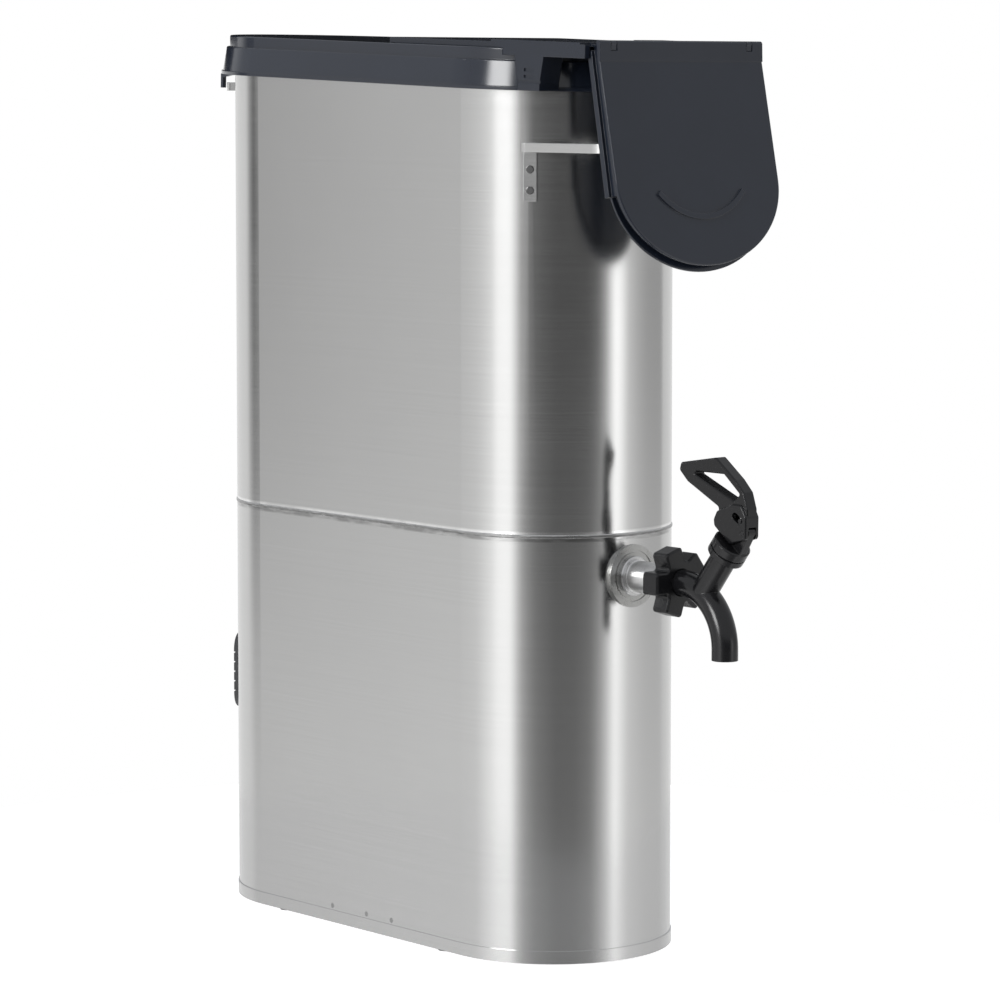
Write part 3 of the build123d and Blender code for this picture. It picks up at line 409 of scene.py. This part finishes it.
class DISPENSER_OT_faucet(Operator):
    """Finish the faucet, its lever, nuts, washers and seals"""

    bl_idname = "dispenser.faucet"
    bl_label = "Faucet"

    def execute(self, context):
        colour = tuple(context.scene.dispenser_plastic.faucet_colour)
        body = moulded_plastic("faucet_plastic", colour, 0.17, shine=0.45)
        dress(body, "faucet_body", "bonnet")
        dress(moulded_plastic("lever_plastic", colour, 0.2, shine=0.42), "lever")
        dress(moulded_plastic("nut_plastic", colour, 0.24, shine=0.4), "wing_nut")
        bright = turned_metal("turned_steel", (0.62, 0.62, 0.62), 0.2)
        dress(bright, "outer_washer", "shank_nut", "valve_stem", "stem_spring")
        dress(turned_metal("sleeve_steel", (0.8, 0.8, 0.8), 0.3), "shank")
        dress(moulded_plastic("pin_plastic", colour, 0.35), "lever_pin", "stem_pin")
        dress(turned_metal("boss_steel", (0.42, 0.42, 0.41), 0.28), "faucet_boss")
        dress(moulded_plastic("black_rubber", (0.02, 0.02, 0.02), 0.7), "rubber_feet", "tail_ring")
        dress(moulded_plastic("pale_silicone", (0.6, 0.6, 0.57), 0.5), "inner_gasket", "seat_cup")
        dress(moulded_plastic("bumper_plastic", (0.03, 0.03, 0.033), 0.5), "rear_bumper")
        return {"FINISHED"}


class DISPENSER_OT_studio(Operator):
    """Set up the floor, the light and the camera"""

    bl_idname = "dispenser.studio"
    bl_label = "Studio"

    def execute(self, context):
        studio = context.scene.dispenser_studio
        add_camera(context, studio)
        add_floor()
        add_flag()
        add_world(context.scene)
        return {"FINISHED"}


def add_camera(context, studio):
    """A camera at the photograph's viewing angle."""
    camera = bpy.data.cameras.new("camera")
    camera.lens = studio.lens
    camera.sensor_width = 36.0
    camera.shift_y = studio.shift
    camera.clip_end = 60.0
    holder = bpy.data.objects.new("camera", camera)
    holder.location = studio.place
    holder.rotation_euler = (radians(90) - studio.pitch, 0, -studio.heading)
    context.scene.collection.objects.link(holder)
    context.scene.camera = holder


def flat_card(name, shape, colour, roughness):
    """Puts a flat shape in the scene, in a dull colour. Gives the card and its material's tree."""
    mesh = bpy.data.meshes.new(name)
    shape.to_mesh(mesh)
    shape.free()
    card = bpy.data.objects.new(name, mesh)
    bpy.context.scene.collection.objects.link(card)
    material, tree, shader, _ = new_material(name + "_card")
    shader.inputs["Base Color"].default_value = colour
    shader.inputs["Roughness"].default_value = roughness
    shader.inputs["Specular IOR Level"].default_value = 0.0
    mesh.materials.append(material)
    return card, tree


def add_shaders(tree, first, second):
    """Lays one light or surface over another."""
    node = tree.nodes.new("ShaderNodeAddShader")
    tree.links.new(first, node.inputs[0])
    tree.links.new(second, node.inputs[1])
    return node.outputs["Shader"]


def mix_shaders(tree, factor, first, second):
    """Goes from one light or surface to another."""
    node = tree.nodes.new("ShaderNodeMixShader")
    tree.links.new(factor, node.inputs["Fac"])
    tree.links.new(first, node.inputs[1])
    tree.links.new(second, node.inputs[2])
    return node.outputs["Shader"]


def add_floor():
    """A white floor that keeps the object's soft shadow and hardly shows in the steel."""
    shape = bmesh.new()
    bmesh.ops.create_circle(shape, cap_ends=True, segments=128, radius=floor_radius)
    floor, tree = flat_card("floor", shape, (0.9, 0.9, 0.9, 1), 0.9)
    path = tree.nodes.new("ShaderNodeLightPath").outputs
    white = tree.nodes.new("ShaderNodeEmission")
    level = calc(tree, "MULTIPLY", path["Is Camera Ray"], floor_white)
    tree.links.new(level, white.inputs["Strength"])
    surface = tree.nodes["Principled BSDF"].outputs["BSDF"]
    both = add_shaders(tree, surface, white.outputs["Emission"])
    clear = tree.nodes.new("ShaderNodeBsdfTransparent").outputs["BSDF"]
    glossy = calc(tree, "MULTIPLY", path["Is Glossy Ray"], floor_clearness)
    mixed = mix_shaders(tree, glossy, both, clear)
    tree.links.new(mixed, tree.nodes["Material Output"].inputs["Surface"])


def add_flag():
    """A black card behind the lid, unseen by the camera, that keeps its flat top dark."""
    shape = bmesh.new()
    bmesh.ops.create_grid(shape, x_segments=1, y_segments=1, size=0.5)
    flag, _ = flat_card("flag", shape, (0.01, 0.01, 0.01, 1), 1.0)
    flag.scale = flag_scale
    flag.location = flag_place
    flag.rotation_euler = flag_turn
    flag.visible_camera = False
    flag.visible_diffuse = False
    flag.visible_shadow = False


# Brightness round the studio, near the horizon and lower down.
# Each pair is the angle from +X towards +Y in degrees, and the level there.
horizon = [
    (0, 0.75),
    (20, 0.8),
    (48, 0.9),
    (104, 0.95),
    (111, 0.4),
    (117, 0.14),
    (123, 0.2),
    (127, 0.68),
    (142, 0.76),
    (156, 0.84),
    (168, 1.0),
    (175, 1.4),
    (188, 1.45),
    (193, 1.0),
    (199, 0.42),
    (207, 0.22),
    (216, 0.12),
    (232, 0.08),
    (262, 0.08),
    (273, 0.13),
    (281, 0.42),
    (287, 1.1),
    (291, 1.8),
    (298, 1.5),
    (306, 0.8),
    (319, 0.56),
    (332, 0.44),
    (350, 0.42),
]
low_horizon = [
    (0, 0.75),
    (48, 0.95),
    (110, 0.95),
    (120, 0.8),
    (150, 0.85),
    (168, 1.2),
    (175, 1.35),
    (188, 1.4),
    (194, 0.8),
    (201, 0.48),
    (212, 0.3),
    (232, 0.2),
    (250, 0.21),
    (266, 0.3),
    (276, 0.58),
    (285, 0.98),
    (291, 1.45),
    (298, 1.1),
    (306, 0.86),
    (330, 0.74),
    (350, 0.7),
]
brightest = 1.8  # the level that the colour ramps call 1


def climb(angle):
    """The height on a unit sphere at an angle above the horizon in degrees."""
    return sin(radians(angle))


def background(tree):
    """A light of the world."""
    return tree.nodes.new("ShaderNodeBackground")


def add_world(scene):
    """A studio all round: bright and dark panels, a softbox above them and an even ceiling."""
    world = bpy.data.worlds.new("studio")
    scene.world = world
    world.use_nodes = True
    tree = world.node_tree
    tree.nodes.clear()
    place = tree.nodes.new("ShaderNodeTexCoord").outputs["Generated"]
    parts = split(tree, place)
    turn = calc(tree, "ARCTAN2", parts["Y"], parts["X"])
    share = calc(tree, "FRACT", calc(tree, "MULTIPLY_ADD", turn, 1 / (2 * pi), 1.0))
    panels = []
    for levels in (low_horizon, horizon):
        stops = [(angle / 360, (level / brightest,) * 3) for angle, level in levels]
        panels.append(ramp(tree, share, stops))
    rise = parts["Z"]
    wall = blend(tree, spread(tree, rise, 0, 1, climb(-9.5), climb(-4.0)), *panels)
    even = (*(level / brightest for level in ceiling), 1)
    room = blend(tree, spread(tree, rise, 0, 1, climb(3), climb(10)), wall, even)
    light = background(tree)
    light.inputs["Strength"].default_value = brightest
    tree.links.new(room, light.inputs["Color"])
    side = window(tree, share, *(angle / 360 for angle in softbox_sides), 3 / 360)
    height = window(tree, rise, *(climb(angle) for angle in softbox_heights), 0.03)
    softbox = background(tree)
    level = calc(tree, "MULTIPLY", calc(tree, "MULTIPLY", side, height), softbox_strength)
    tree.links.new(level, softbox.inputs["Strength"])
    both = add_shaders(tree, light.outputs["Background"], softbox.outputs["Background"])
    white = background(tree)
    white.inputs["Strength"].default_value = 1.0
    white.inputs["Color"].default_value = (1, 1, 1, 1)
    seen = tree.nodes.new("ShaderNodeLightPath").outputs["Is Camera Ray"]
    mixed = mix_shaders(tree, seen, both, white.outputs["Background"])
    output = tree.nodes.new("ShaderNodeOutputWorld")
    tree.links.new(mixed, output.inputs["Surface"])


class DISPENSER_PT_panel(Panel):
    """Shows the dispenser's buttons and settings"""

    bl_idname = "DISPENSER_PT_panel"
    bl_label = "Dispenser"
    bl_space_type = "VIEW_3D"
    bl_region_type = "UI"
    bl_category = "Dispenser"

    def draw(self, context):
        layout = self.layout
        for kind in operators:
            layout.operator(kind.bl_idname)
        for settings_name, kind in settings.items():
            box = layout.box()
            for name in kind.__annotations__:
                box.prop(getattr(context.scene, settings_name), name)


operators = [DISPENSER_OT_steel, DISPENSER_OT_lid, DISPENSER_OT_faucet, DISPENSER_OT_studio]
settings = {
    "dispenser_steel": SteelSettings,
    "dispenser_plastic": PlasticSettings,
    "dispenser_studio": StudioSettings,
}


def register():
    """Registers the classes and adds the settings to the scene."""
    for kind in [*settings.values(), *operators, DISPENSER_PT_panel]:
        bpy.utils.register_class(kind)
    for name, kind in settings.items():
        setattr(bpy.types.Scene, name, bpy.props.PointerProperty(type=kind))


def unregister():
    """Takes the settings and the classes away again."""
    for name in settings:
        delattr(bpy.types.Scene, name)
    for kind in reversed([*settings.values(), *operators, DISPENSER_PT_panel]):
        bpy.utils.unregister_class(kind)


def main():
    """Dresses the pieces and sets the stage."""
    bpy.context.scene.view_settings.view_transform = "Standard"
    register()
    for kind in operators:
        group, name = kind.bl_idname.split(".")
        getattr(getattr(bpy.ops, group), name)()


if __name__ == "__main__":
    main()
